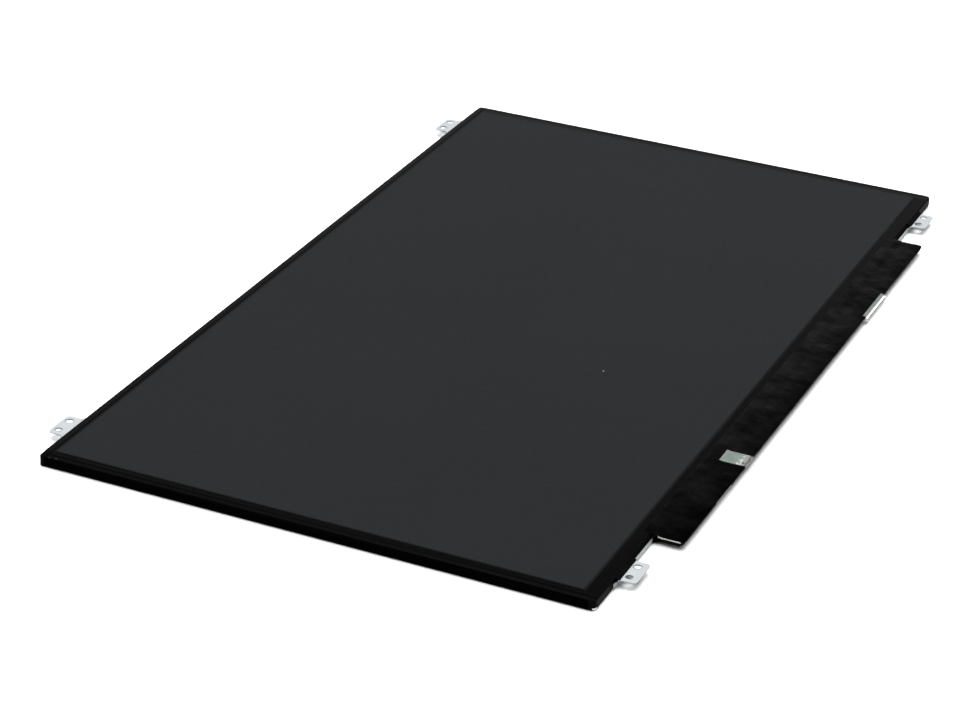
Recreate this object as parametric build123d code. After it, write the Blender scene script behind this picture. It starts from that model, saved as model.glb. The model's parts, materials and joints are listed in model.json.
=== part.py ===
from build123d import *
import os

# Slim laptop screen panel lying face up, in millimetres
# +X runs along its width, +Y to its top edge and +Z out of the screen
# The origin is on the rear face, under the middle of the display area

# How far a cutting solid runs past the face that it cuts
past = 1.0

# Display area
display_width = 309.4
display_height = 173.95

# Display cell: how far each sheet runs past the display area
glass_margin_side = 2.9
glass_margin_top = 1.4
filter_margin_bottom = 3.2
array_margin_bottom = 4.6
front_polariser_margin = 0.5
rear_polariser_margin_side = 2.4
rear_polariser_margin_top = 1.2
rear_polariser_margin_bottom = 2.6
rim_tape_margin = 0.4

# Backlight: how far each sheet runs past the display area
guide_margin_side = 1.5
guide_margin_top = 0.7
guide_margin_bottom = 1.3
film_inset = 0.2
guide_ear_length = 6.0
guide_ear_reach = 0.9
guide_ear_spacing = 96.0

# Light bar along the bottom edge
led_pitch = 8.4
led_length = 3.0
led_depth = 0.9
led_height = 0.7
led_gap = 0.1
led_flex_width = 3.1
led_flex_thickness = 0.1
led_flex_end_margin = 0.5
led_tail_width = 8.0
led_tail_from_board_end = 20.5
led_tail_landing = 2.7
led_tail_bend = 0.3

# Thicknesses, from the rear face up
cover_sheet = 0.25
field_depth = 0.2
reflector_thickness = 0.2
guide_thickness = 1.0
diffuser_thickness = 0.15
prism_thickness = 0.16
film_gap = 0.13
rim_tape_thickness = 0.05
rear_polariser_thickness = 0.2
glass_thickness = 0.5
front_polariser_thickness = 0.3
edge_tape_thickness = 0.08

# Mould frame
frame_wall_side = 1.38
frame_wall_top = 2.08
frame_wall_bottom = 0.49
cell_clearance = 0.15
guide_clearance = 0.2
frame_fit = 0.04
lip_gap = 0.05
lip_radius = 0.4
lip_bulge = 1.25
lip_bulge_edge = 0.2
lip_bulge_margin = 0.4
lip_land = 0.1
roof_clearance = 0.1
corner_radius = 1.5

# Rear cover
cover_wall_top = 2.72
low_corner_top = 1.0
bend_radius = 0.25
corner_relief = 2.2
relief_gap = 0.15
field_inset = 7.0
field_corner = 6.0
bead_length = 210.0
bead_width = 5.0
bead_spacing = 80.0
press_draft = 45.0
hook_length = 6.0
hook_height = 0.6
hook_ramp = 0.3
hook_rise = 0.8
hook_clearance = 0.1
side_hook_count = 3
top_hook_count = 5

# Edge tapes
tape_setback = 0.7
tape_rear_lap = 4.0
tape_seam = 0.05

# Fixing brackets
bracket_sheet = 0.3
bracket_bend = 0.3
bracket_from_side = 15.5
bracket_tab_length = 12.0
bracket_corner = 1.4
bracket_root_flare = 1.1
bracket_leg_length = 29.0
bracket_leg_overhang = 2.0
bracket_leg_low = 0.6
bracket_reach_top = 6.45
bracket_reach_bottom = 6.07
bracket_hole_reach_top = 4.1
bracket_hole_reach_bottom = 2.92
outer_hole_diameter = 2.1
inner_hole_diameter = 2.4
outer_hole_from_end = 2.7
hole_spacing = 6.3

# Control board under the bottom edge
board_end_margin = 43.0
board_gap = 1.24
board_width = 8.7
board_thickness = 0.5
board_drop = 0.12
board_corner = 1.2

# Board tapes and film
front_tape_thickness = 0.08
front_tape_overhang = 0.3
front_tape_landing = 0.275
front_tape_crest = 0.1
front_tape_bend = 1.0
front_tape_fold = 0.16
front_tape_corner = 1.2
fold_gap_length = 13.0
fold_gap_from_board_end = 26.5
board_wrap_gap = 0.05
rear_film_thickness = 0.06
rear_film_lap = 3.8
rear_film_inset = 0.2
rear_film_edge = 0.1
rear_film_fold = 0.12
rear_film_room = 1.2
rear_film_slant = 1.2
foil_thickness = 0.05
foil_length = 8.1
foil_from_board_end = 51.3
foil_root = 0.25

# Links from the glass to the board
flex_count = 3
flex_width = 46.0
flex_pitch = 72.0
flex_thickness = 0.05
flex_glass_gap = 0.1
flex_shelf = 1.6
flex_drop_run = 1.0
flex_landing = 1.5
flex_bend = 0.5
flex_wall_clearance = 0.03
driver_length = 22.0
driver_width = 0.9
driver_height = 0.25
driver_from_glass = 0.4

# Signal connector on the rear of the board
connector_from_board_end = 54.1
connector_overhang = 0.8
contact_count = 30
contact_pitch = 0.5
contact_width = 0.2
contact_sheet = 0.12
contact_foot = 0.55
contact_step = 0.2
contact_recess = 0.6
housing_length = 19.8
housing_depth = 4.0
housing_height = 1.05
mouth_height = 0.45
mouth_depth = 2.8
mouth_side_room = 0.55
contact_plane_drop = 0.3
shell_sheet = 0.15
shell_depth = 3.3
shell_bend = 0.05
shell_gap = 0.05
connector_window_gap = 0.6
connector_notch = 0.15

# Other rear-side components of the board
controller_size = 6.0
controller_height = 0.85
controller_from_connector = 79.0
converter_size = 4.0
converter_height = 0.75
converter_from_connector = 43.0
memory_length = 3.0
memory_width = 2.0
memory_height = 0.6
chip_bevel = 0.15
memory_from_controller = 14.0
inductor_size = 4.0
inductor_height = 1.0
inductor_corner = 0.6
inductor_from_converter = 9.0
inductor_from_board_end = 9.0
backlight_driver_from_board_end = 32.0
capacitor_length = 1.6
capacitor_width = 0.8
capacitor_height = 0.7
capacitor_pitch = 2.8
resistor_length = 1.0
resistor_width = 0.5
resistor_height = 0.35
resistor_pitch = 3.1
component_row_gap = 1.7
component_end_room = 12.0

# Levels above the rear face
floor_z = field_depth + cover_sheet
guide_z = floor_z + reflector_thickness
diffuser_z = guide_z + guide_thickness
lower_prism_z = diffuser_z + diffuser_thickness
upper_prism_z = lower_prism_z + prism_thickness
ledge_z = upper_prism_z + prism_thickness + film_gap
rear_polariser_z = ledge_z + rim_tape_thickness
array_z = rear_polariser_z + rear_polariser_thickness
filter_z = array_z + glass_thickness
frame_top = filter_z + glass_thickness
board_top = filter_z - board_drop
board_bottom = board_top - board_thickness
lip_z = cover_wall_top + lip_gap

# Outlines of the display cell and the light guide
half_x = display_width / 2
half_y = display_height / 2
glass_x = half_x + glass_margin_side
glass_top_y = half_y + glass_margin_top
filter_low_y = -half_y - filter_margin_bottom
array_low_y = -half_y - array_margin_bottom
guide_x = half_x + guide_margin_side
guide_top_y = half_y + guide_margin_top
guide_low_y = -half_y - guide_margin_bottom

# Outer faces of the rear cover
cover_x = glass_x + cell_clearance + frame_wall_side + frame_fit + cover_sheet
cover_top_y = glass_top_y + cell_clearance + frame_wall_top + frame_fit + cover_sheet
cover_low_y = array_low_y - cell_clearance - frame_wall_bottom - frame_fit - cover_sheet
bend_outer = bend_radius + cover_sheet
post_size = corner_relief - relief_gap

# Edge tapes
tape_x = half_x + tape_setback
tape_top_y = half_y + tape_setback
tape_low_y = -half_y - tape_setback
tape_break_y = filter_low_y + front_tape_landing
lip_slope_y = array_low_y - cell_clearance - lip_land

# Light bar
led_flex_x = half_x - led_flex_end_margin
led_high_y = guide_low_y - led_gap
led_flex_low_y = led_high_y - led_flex_width
led_z = floor_z + led_flex_thickness

# Control board and what sits on it
board_x = cover_x + edge_tape_thickness - board_end_margin
board_high_y = cover_low_y - board_gap
board_low_y = board_high_y - board_width
board_middle_y = (board_high_y + board_low_y) / 2
connector_x = board_x - connector_from_board_end
connector_front_y = board_low_y - connector_overhang
led_tail_x = board_x - led_tail_from_board_end
controller_x = connector_x - controller_from_connector
converter_x = connector_x - converter_from_connector
shell_x = housing_length / 2 + shell_gap + shell_sheet
foil_x = -board_x + foil_from_board_end
fold_gap_x = -board_x + fold_gap_from_board_end

# Brackets
tab_end_x = cover_x + edge_tape_thickness - bracket_from_side
tab_start_x = tab_end_x - bracket_tab_length
leg_end_x = tab_end_x + bracket_leg_overhang
leg_start_x = leg_end_x - bracket_leg_length
root_start_x = tab_start_x - bracket_root_flare
root_end_x = tab_end_x + bracket_root_flare
bulge_start_x = tab_start_x - lip_bulge_margin
bulge_end_x = tab_end_x + lip_bulge_margin


def block(x, y, z):
    """Block between a low and a high end on each axis."""
    ends = (x, y, z)
    middle = [(low + high) / 2 for low, high in ends]
    return Pos(*middle) * Box(*[high - low for low, high in ends])


def flat_sheet(x_half, y_low, y_high, z_low, thickness):
    """Flat square-cut sheet, centred on X."""
    return block((-x_half, x_half), (y_low, y_high), (z_low, z_low + thickness))


def polygon(*points):
    """Face inside a closed run of points."""
    return make_face(Polyline(*points, close=True))


def bent_section(points, radii, thickness, side):
    """Section of a folded sheet that follows a path with rounded corners."""
    return make_face(offset(FilletPolyline(*points, radius=radii), amount=thickness, side=side))


def along_x(section, x_low, x_high):
    """Runs a section drawn in Y and Z along X."""
    return extrude(Plane.YZ.offset(x_low) * section, x_high - x_low)


def along_y(section, y_low, y_high):
    """Runs a section drawn in X and Z along Y."""
    return extrude(Plane.XZ.offset(-y_high) * section, y_high - y_low)


def body_outline(inset):
    """Outline of the rear cover's outer faces, drawn in by an inset."""
    size_x = 2 * (cover_x - inset)
    size_y = cover_top_y - cover_low_y - 2 * inset
    middle = (cover_top_y + cover_low_y) / 2
    return Pos(0, middle) * RectangleRounded(size_x, size_y, corner_radius - inset)


def evenly(count, low, high):
    """Middles of equal shares between two ends."""
    step = (high - low) / count
    return [low + (index + 0.5) * step for index in range(count)]


def corner_blocks(size, y_ends, z_ends):
    """Square posts at the two corners of one long side."""
    right = block((cover_x - size, cover_x + past), y_ends, z_ends)
    return [right, mirror(right, about=Plane.YZ)]


def top_corners(size, z_low, z_high):
    """Square posts at the two top corners of the body."""
    return corner_blocks(size, (cover_top_y - size, cover_top_y + past), (z_low, z_high))


def low_corners(size, z_low, z_high):
    """Square posts at the two bottom corners of the body."""
    return corner_blocks(size, (cover_low_y - past, cover_low_y + size), (z_low, z_high))


def hook_places_side():
    """Heights along the short sides where the frame hooks into the cover."""
    return evenly(side_hook_count, cover_low_y, cover_top_y)


def hook_places_top():
    """Places along the top side where the frame hooks into the cover."""
    return evenly(top_hook_count, -cover_x, cover_x)


def pressed(tray, outline, inward):
    """Presses an outline of the tray's floor by the field's depth, keeping the sheet's thickness."""
    draft = press_draft if inward else -press_draft
    outer = extrude(outline, field_depth, taper=draft)
    inner = extrude(Pos(0, 0, cover_sheet) * outline, field_depth, taper=draft)
    return tray - outer + inner if inward else tray + outer - inner


def rear_cover():
    """Stamped sheet tray with folded walls, corner reliefs, hook windows and a pressed field."""
    outer = extrude(Pos(0, 0, field_depth) * body_outline(0), cover_wall_top - field_depth)
    outer = fillet(outer.edges().group_by(Axis.Z)[0], bend_outer)
    inner = extrude(Pos(0, 0, floor_z) * body_outline(cover_sheet), cover_wall_top)
    inner = fillet(inner.edges().group_by(Axis.Z)[0], bend_radius)
    tray = outer - inner
    field_x = cover_x - field_inset
    field_size_y = cover_top_y - cover_low_y - 2 * field_inset
    field_middle = (cover_top_y + cover_low_y) / 2
    field = Pos(0, field_middle) * RectangleRounded(2 * field_x, field_size_y, field_corner)
    tray = pressed(tray, field, inward=False)
    for y in (-bead_spacing / 2, bead_spacing / 2):
        tray = pressed(tray, Pos(0, y) * SlotOverall(bead_length, bead_width), inward=True)
    tray -= top_corners(corner_relief, 0, cover_wall_top + past)
    tray -= low_corners(corner_relief, low_corner_top, cover_wall_top + past)
    low_wall_y = (cover_low_y - past, cover_low_y + bend_outer)
    for x_ends in ((-cover_x, -leg_end_x), (leg_end_x, cover_x)):
        tray -= block(x_ends, low_wall_y, (low_corner_top, cover_wall_top + past))
    window_z = (floor_z + hook_rise - hook_clearance, floor_z + hook_rise + hook_height + hook_clearance)
    window_half = hook_length / 2 + hook_clearance
    wall_depth = bend_outer + frame_fit
    for y in hook_places_side():
        for x_ends in ((-cover_x - past, -cover_x + wall_depth), (cover_x - wall_depth, cover_x + past)):
            tray -= block(x_ends, (y - window_half, y + window_half), window_z)
    for x in hook_places_top():
        y_ends = (cover_top_y - wall_depth, cover_top_y + past)
        tray -= block((x - window_half, x + window_half), y_ends, window_z)
    tray -= led_tail_passage(cover_low_y + wall_depth, cover_wall_top + past)
    return tray


def led_tail_passage(inner_y, z_high):
    """Slot through the bottom wall for the light bar's tail."""
    half = led_tail_width / 2 + guide_clearance
    x_ends = (led_tail_x - half, led_tail_x + half)
    return block(x_ends, (cover_low_y - lip_bulge, inner_y), (floor_z, z_high))


def rebate_section(cover_face, outward, z_high):
    """Section of the room that one folded wall of the cover takes, eased at its bend."""
    face = cover_face - outward * (cover_sheet + frame_fit)
    ease = bend_radius + frame_fit
    outside = cover_face + outward * past
    return polygon(
        (outside, z_high),
        (face, z_high),
        (face, floor_z + ease),
        (face - outward * ease, floor_z),
        (outside, floor_z),
    )


def wall_rebates():
    """Room in the frame's outer faces for the cover's folded walls."""
    end_x = cover_x - post_size
    side_y = (cover_low_y + post_size, cover_top_y - post_size)
    middle_x = leg_end_x + relief_gap
    rebates = [along_y(rebate_section(sign * cover_x, sign, lip_z), *side_y) for sign in (-1, 1)]
    rebates.append(along_x(rebate_section(cover_top_y, 1, lip_z), -end_x, end_x))
    rebates.append(along_x(rebate_section(cover_low_y, -1, lip_z), -middle_x, middle_x))
    low_wall = rebate_section(cover_low_y, -1, low_corner_top + lip_gap)
    rebates.append(along_x(low_wall, -end_x, end_x))
    wall_room = cover_sheet + frame_fit
    bend_ease = bend_radius + frame_fit
    corner_rooms = (
        (wall_room, low_corner_top + lip_gap),
        (wall_room + bend_ease, floor_z + bend_ease),
    )
    for inset, z_high in corner_rooms:
        ring = body_outline(-past) - body_outline(inset)
        ring = extrude(Pos(0, 0, floor_z) * ring, z_high - floor_z)
        rebates += [ring & post for post in low_corners(corner_relief, floor_z, z_high)]
    return rebates


def frame_hooks():
    """Ramped hooks on the frame that snap into the cover's windows."""
    reach = frame_fit + cover_sheet - lip_gap
    z_low = floor_z + hook_rise
    z_high = z_low + hook_height
    half = hook_length / 2
    hooks = []
    for x_sign in (-1, 1):
        face = x_sign * (cover_x - cover_sheet - frame_fit)
        tip = face + x_sign * reach
        section = polygon((face, z_low), (tip, z_low + hook_ramp), (tip, z_high), (face, z_high))
        hooks += [along_y(section, y - half, y + half) for y in hook_places_side()]
    face = cover_top_y - cover_sheet - frame_fit
    tip = face + reach
    section = polygon((face, z_low), (tip, z_low + hook_ramp), (tip, z_high), (face, z_high))
    hooks += [along_x(section, x - half, x + half) for x in hook_places_top()]
    return hooks


def lip_bulges():
    """Bulges of the frame's lip that slope down over the roots of the two bottom brackets."""
    section = polygon(
        (cover_low_y + lip_radius, frame_top),
        (cover_low_y - lip_bulge, lip_z + lip_bulge_edge),
        (cover_low_y - lip_bulge, lip_z),
        (cover_low_y + lip_radius, lip_z),
    )
    bulge = along_x(section, bulge_start_x, bulge_end_x)
    return [bulge, mirror(bulge, about=Plane.YZ)]


def lip_slopes():
    """Room cut off the bottom lip between the board's tape and the bulges, where the lip slopes down."""
    foot_z = lip_z + lip_bulge_edge
    section = polygon(
        (lip_slope_y, frame_top),
        (cover_low_y, foot_z),
        (cover_low_y - past, foot_z),
        (cover_low_y - past, frame_top + past),
        (lip_slope_y, frame_top + past),
    )
    slope = along_x(section, board_x, bulge_start_x)
    return [slope, mirror(slope, about=Plane.YZ)]


def guide_ears(extra):
    """Locating ears on the short edges of the light guide, grown by a clearance."""
    half = guide_ear_length / 2 + extra
    reach = guide_x + guide_ear_reach + extra
    ears = []
    for y in (-guide_ear_spacing / 2, guide_ear_spacing / 2):
        ears.append(Pos(0, y) * Rectangle(2 * reach, 2 * half))
    return ears


def guide_outline(extra):
    """Outline of the light guide with its ears, grown by a clearance."""
    size_y = guide_top_y - guide_low_y + 2 * extra
    middle = (guide_top_y + guide_low_y) / 2
    return Pos(0, middle) * Rectangle(2 * (guide_x + extra), size_y) + guide_ears(extra)


def mould_frame():
    """Moulded frame: outer lip, ledge for the cell, roof over the light bar, hooks and corner posts."""
    body = extrude(Pos(0, 0, floor_z) * body_outline(0), frame_top - floor_z)
    body = fillet(body.edges().group_by(Axis.Z)[-1], lip_radius)
    body -= lip_slopes()
    body += lip_bulges()
    feet = extrude(Pos(0, 0, field_depth) * body_outline(0), floor_z - field_depth)
    for post in top_corners(post_size, field_depth, floor_z):
        body += feet & post
    body -= wall_rebates()
    body += frame_hooks()
    cell_x = glass_x + cell_clearance
    cell_y = (array_low_y - cell_clearance, glass_top_y + cell_clearance)
    body -= block((-cell_x, cell_x), cell_y, (ledge_z, frame_top + past))
    body -= extrude(Pos(0, 0, floor_z) * guide_outline(guide_clearance), ledge_z - floor_z)
    bar_x = led_flex_x + guide_clearance
    bar_top = led_z + led_height + roof_clearance
    bar_y = (led_flex_low_y - guide_clearance, guide_low_y)
    body -= block((-bar_x, bar_x), bar_y, (floor_z - past, bar_top))
    body -= led_tail_passage(guide_low_y, bar_top)
    flex_x = board_x + front_tape_overhang
    flex_y = (cover_low_y - past, array_low_y)
    body -= block((-flex_x, flex_x), flex_y, (filter_z - flex_wall_clearance, frame_top + past))
    return body


def backlight_sheets():
    """Reflector, light guide and the three optical films on it."""
    film_x = guide_x - film_inset
    film_y = (guide_low_y + film_inset, guide_top_y - film_inset)
    sheets = {
        "reflector_sheet": flat_sheet(guide_x, guide_low_y, guide_top_y, floor_z, reflector_thickness),
        "light_guide_plate": extrude(Pos(0, 0, guide_z) * guide_outline(0), guide_thickness),
        "diffuser_sheet": flat_sheet(film_x, *film_y, diffuser_z, diffuser_thickness),
        "lower_prism_sheet": flat_sheet(film_x, *film_y, lower_prism_z, prism_thickness),
        "upper_prism_sheet": flat_sheet(film_x, *film_y, upper_prism_z, prism_thickness),
    }
    return sheets


def led_flex():
    """Light bar's flexible circuit, with a tail that climbs to the rear of the board."""
    strip_x = (-led_flex_x, led_flex_x)
    strip = block(strip_x, (led_flex_low_y, led_high_y), (floor_z, led_z))
    climb_start = cover_low_y - board_gap / 2
    climb_end = board_high_y - flex_drop_run
    lift = board_bottom - led_flex_thickness
    path = [
        (led_flex_low_y, floor_z),
        (climb_start, floor_z),
        (climb_end, lift),
        (climb_end - led_tail_landing, lift),
    ]
    section = bent_section(path, [led_tail_bend] * 2, led_flex_thickness, Side.RIGHT)
    tail = along_x(section, led_tail_x - led_tail_width / 2, led_tail_x + led_tail_width / 2)
    return strip + tail


def led_packages():
    """Row of side-firing light sources on the bar."""
    count = int(2 * led_flex_x / led_pitch)
    start = -(count - 1) * led_pitch / 2
    places = [start + index * led_pitch for index in range(count)]
    y_ends = (led_high_y - led_depth, led_high_y)
    z_ends = (led_z, led_z + led_height)
    return [block((x - led_length / 2, x + led_length / 2), y_ends, z_ends) for x in places]


def cell_rim_tape():
    """Light-tight adhesive rim between the frame's ledge and the cell."""
    x_half = half_x + rear_polariser_margin_side
    y_low = -half_y - rear_polariser_margin_bottom
    y_high = half_y + rear_polariser_margin_top
    rim = flat_sheet(x_half, y_low, y_high, ledge_z, rim_tape_thickness)
    hole_x = half_x + rim_tape_margin
    hole_y = half_y + rim_tape_margin
    return rim - block((-hole_x, hole_x), (-hole_y, hole_y), (ledge_z - past, ledge_z + past))


def display_cell():
    """Two glasses and their polarisers."""
    rear_x = half_x + rear_polariser_margin_side
    rear_y = (-half_y - rear_polariser_margin_bottom, half_y + rear_polariser_margin_top)
    front_x = half_x + front_polariser_margin
    front_y = half_y + front_polariser_margin
    rear = flat_sheet(rear_x, *rear_y, rear_polariser_z, rear_polariser_thickness)
    array = flat_sheet(glass_x, array_low_y, glass_top_y, array_z, glass_thickness)
    colour = flat_sheet(glass_x, filter_low_y, glass_top_y, filter_z, glass_thickness)
    front = flat_sheet(front_x, -front_y, front_y, frame_top, front_polariser_thickness)
    return {
        "rear_polariser": rear,
        "array_glass": array,
        "colour_filter_glass": colour,
        "front_polariser": front,
    }


def right_edge_tape():
    """Black tape from the glass over the frame's lip, down the wall and on to the rear rim."""
    path = [
        (tape_x, frame_top),
        (cover_x, frame_top),
        (cover_x, field_depth),
        (cover_x - tape_rear_lap, field_depth),
    ]
    section = bent_section(path, [lip_radius, bend_outer], edge_tape_thickness, Side.LEFT)
    wall_y = (cover_low_y + corner_relief, cover_top_y - corner_relief)
    kept = block((0, cover_x + past), wall_y, (0, frame_top + past))
    kept += extrude(Pos(0, 0, lip_z) * body_outline(lip_radius), frame_top + past - lip_z)
    return along_y(section, cover_low_y, cover_top_y) & kept


def top_edge_tape():
    """Black tape from the glass over the top lip."""
    path = [(tape_top_y, frame_top), (cover_top_y, frame_top), (cover_top_y, lip_z)]
    section = bent_section(path, [lip_radius], edge_tape_thickness, Side.LEFT)
    end = tape_x - tape_seam
    return along_x(section, -end, end)


def bottom_edge_tape():
    """Flat black tape under the display area, with lobes that cover the frame beside the board."""
    end = tape_x - tape_seam
    lobe_start = board_x + front_tape_overhang + tape_seam
    z_ends = (frame_top, frame_top + edge_tape_thickness)
    lobe = block((lobe_start, end), (lip_slope_y, tape_low_y), z_ends)
    lobe += block((bulge_start_x, end), (cover_low_y + lip_radius, tape_low_y), z_ends)
    strip = block((-end, end), (tape_break_y, tape_low_y), z_ends)
    return strip + lobe + mirror(lobe, about=Plane.YZ)


def bracket(x_sign, y_sign):
    """Bright sheet bracket: a leg flat on the cover's wall, folded out to a tab with two holes."""
    wall_y = cover_top_y if y_sign > 0 else cover_low_y
    reach = bracket_reach_top if y_sign > 0 else bracket_reach_bottom
    hole_reach = bracket_hole_reach_top if y_sign > 0 else bracket_hole_reach_bottom
    path = [(0, bracket_leg_low), (0, cover_wall_top), (reach, cover_wall_top)]
    section = bent_section(path, [bracket_bend + bracket_sheet], bracket_sheet, Side.RIGHT)
    sheet = along_x(section, leg_start_x, leg_end_x)
    tab_length = tab_end_x - tab_start_x
    tab = Pos((tab_start_x + tab_end_x) / 2, 0) * RectangleRounded(tab_length, 2 * reach, bracket_corner)
    root_depth = bracket_sheet + bracket_bend + bracket_root_flare
    root = polygon(
        (root_start_x, 0),
        (root_end_x, 0),
        (root_end_x, root_depth - bracket_root_flare),
        (tab_end_x, root_depth),
        (tab_start_x, root_depth),
        (root_start_x, root_depth - bracket_root_flare),
    )
    whole_x = (leg_start_x - past, leg_end_x + past)
    whole = block(whole_x, (bracket_sheet, reach + past), (0, cover_wall_top + past))
    keep = extrude(tab + root, cover_wall_top + past)
    sheet -= whole - keep
    for hole_x, diameter in (
        (tab_end_x - outer_hole_from_end, outer_hole_diameter),
        (tab_end_x - outer_hole_from_end - hole_spacing, inner_hole_diameter),
    ):
        sheet -= Pos(hole_x, hole_reach, cover_wall_top) * Cylinder(diameter / 2, 2 * past)
    if y_sign < 0:
        sheet = mirror(sheet, about=Plane.XZ)
    if x_sign < 0:
        sheet = mirror(sheet, about=Plane.YZ)
    return Pos(0, wall_y, 0) * sheet


def flex_places():
    """Middles of the links from the glass to the board."""
    return [(index - (flex_count - 1) / 2) * flex_pitch for index in range(flex_count)]


def panel_flexes():
    """Film links bonded to the glass ledge and to the front of the board."""
    shelf_y = array_low_y - flex_shelf
    foot_y = shelf_y - flex_drop_run
    path = [
        (filter_low_y - flex_glass_gap, filter_z),
        (shelf_y, filter_z),
        (foot_y, board_top),
        (foot_y - flex_landing, board_top),
    ]
    section = bent_section(path, [flex_bend] * 2, flex_thickness, Side.RIGHT)
    return [along_x(section, x - flex_width / 2, x + flex_width / 2) for x in flex_places()]


def source_driver_chips():
    """Long driver chips on the links, beside the glass."""
    y_high = array_low_y - driver_from_glass
    y_ends = (y_high - driver_width, y_high)
    z_low = filter_z + flex_thickness
    z_ends = (z_low, z_low + driver_height)
    return [block((x - driver_length / 2, x + driver_length / 2), y_ends, z_ends) for x in flex_places()]


def control_board():
    """Long narrow board with rounded corners."""
    outline = RectangleRounded(2 * board_x, board_width, board_corner)
    return extrude(Pos(0, board_middle_y, board_bottom) * outline, board_thickness)


def front_tape_path():
    """Rear side of the front tape, from the glass down to the board and round its outer edge."""
    crest_y = array_low_y - driver_from_glass - driver_width - front_tape_crest
    crest_z = filter_z + flex_thickness + driver_height + front_tape_crest
    foot_y = array_low_y - flex_shelf - flex_drop_run - flex_landing / 2
    foot_z = board_top + flex_thickness
    edge_y = board_low_y - board_wrap_gap
    return [
        (tape_break_y - tape_seam, frame_top),
        (filter_low_y, frame_top),
        (crest_y, crest_z),
        (foot_y, foot_z),
        (edge_y, foot_z),
        (edge_y, board_bottom),
    ]


def front_tape_section(thickness):
    """Section of a layer of a given thickness on the front tape's path."""
    radii = [front_tape_fold, front_tape_bend, front_tape_bend, front_tape_fold]
    return bent_section(front_tape_path(), radii, thickness, Side.RIGHT)


def board_front_tape():
    """Black tape over the links and the board, notched at the signal connector, its fold broken once."""
    tape_end = board_x + front_tape_overhang
    tape = along_x(front_tape_section(front_tape_thickness), -tape_end, tape_end)
    notch_x = (connector_x - shell_x, connector_x + shell_x)
    notch_y = (board_low_y - past, board_low_y + connector_notch)
    tape -= block(notch_x, notch_y, (board_bottom - past, frame_top))
    gap_x = (fold_gap_x, fold_gap_x + fold_gap_length)
    tape -= block(gap_x, (board_low_y - past, board_low_y), (board_bottom - past, board_top))
    edge_y = front_tape_path()[-1][0] - front_tape_thickness
    for x_sign in (-1, 1):
        corner = polygon(
            (x_sign * (tape_end + past), edge_y - past),
            (x_sign * (tape_end - front_tape_corner - past), edge_y - past),
            (x_sign * (tape_end + past), edge_y + front_tape_corner + past),
        )
        tape -= extrude(corner, frame_top)
    return tape


def board_foil_tape():
    """Metallic patch over the front tape, from its slope to the bottom of its outer fold."""
    layers = front_tape_section(front_tape_thickness + foil_thickness)
    layer = layers - front_tape_section(front_tape_thickness)
    root_y = board_high_y - foil_root
    far_y = board_low_y - past
    outer_part = Pos((root_y + far_y) / 2, 0) * Rectangle(root_y - far_y, 2 * (frame_top + past))
    return along_x(layer & outer_part, foil_x, foil_x + foil_length)


def board_rear_film():
    """Black film from the cover's rear rim under the components to the board's edge, closed at its ends."""
    film_x = board_x - rear_film_inset
    film_z = board_bottom - rear_film_room
    edge_y = board_low_y + rear_film_edge
    slant_y = edge_y + rear_film_slant
    path = [
        (cover_low_y + rear_film_lap, field_depth),
        (cover_low_y, field_depth),
        (board_high_y - rear_film_slant, film_z),
        (slant_y, film_z),
        (edge_y, board_bottom),
    ]
    section = bent_section(path, [rear_film_fold] * 3, rear_film_thickness, Side.LEFT)
    film = along_x(section, -film_x, film_x)
    for x_ends in ((-film_x, -film_x + rear_film_thickness), (film_x - rear_film_thickness, film_x)):
        film += block(x_ends, (slant_y, board_high_y - rear_film_slant), (film_z, board_bottom))
    window_x = shell_x + connector_window_gap
    window_y = (board_low_y - past, connector_front_y + housing_depth + connector_window_gap)
    return film - block((connector_x - window_x, connector_x + window_x), window_y, (-past, board_bottom))


def signal_connector_housing():
    """Moulded connector body with a wide mouth and a slot for its row of contacts."""
    half = housing_length / 2
    back_y = connector_front_y + housing_depth
    z_low = board_bottom - housing_height
    plane_z = board_bottom - contact_plane_drop
    row_half = contact_count * contact_pitch / 2
    x_ends = (connector_x - half, connector_x + half)
    body = block(x_ends, (connector_front_y, back_y), (z_low, board_bottom))
    front_y = (connector_front_y - past, board_low_y + shell_gap)
    body -= block(x_ends, front_y, (board_bottom - shell_sheet - shell_gap, board_bottom + past))
    mouth_half = row_half + mouth_side_room
    mouth_y = (connector_front_y - past, connector_front_y + mouth_depth)
    mouth_x = (connector_x - mouth_half, connector_x + mouth_half)
    body -= block(mouth_x, mouth_y, (plane_z - mouth_height, plane_z))
    slot_x = (connector_x - row_half, connector_x + row_half)
    body -= block(slot_x, (connector_front_y, back_y + past), (plane_z - contact_sheet, plane_z))
    return body


def signal_connector_contacts():
    """Row of bent contacts, from the connector's mouth to their feet on the board."""
    plane_z = board_bottom - contact_plane_drop
    bend_y = connector_front_y + housing_depth + contact_step
    path = [
        (connector_front_y + contact_recess, plane_z),
        (bend_y, plane_z),
        (bend_y + contact_step, board_bottom),
        (bend_y + contact_step + contact_foot, board_bottom),
    ]
    outline = offset(Polyline(*path), amount=contact_sheet, side=Side.RIGHT, kind=Kind.INTERSECTION)
    section = make_face(outline)
    start = connector_x - (contact_count - 1) * contact_pitch / 2
    places = [start + index * contact_pitch for index in range(contact_count)]
    return [along_x(section, x - contact_width / 2, x + contact_width / 2) for x in places]


def signal_connector_shell():
    """Stamped shell round the connector, soldered to the board, with a lip over its mouth."""
    inner = shell_x - shell_sheet
    low_z = board_bottom - housing_height
    path = [(-inner, board_bottom), (-inner, low_z), (inner, low_z), (inner, board_bottom)]
    section = bent_section(path, [shell_bend] * 2, shell_sheet, Side.RIGHT)
    shell = Pos(connector_x, 0, 0) * along_y(section, connector_front_y, connector_front_y + shell_depth)
    lip_x = (connector_x - inner, connector_x + inner)
    lip_y = (connector_front_y, board_low_y)
    return shell + block(lip_x, lip_y, (board_bottom - shell_sheet, board_bottom))


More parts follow.
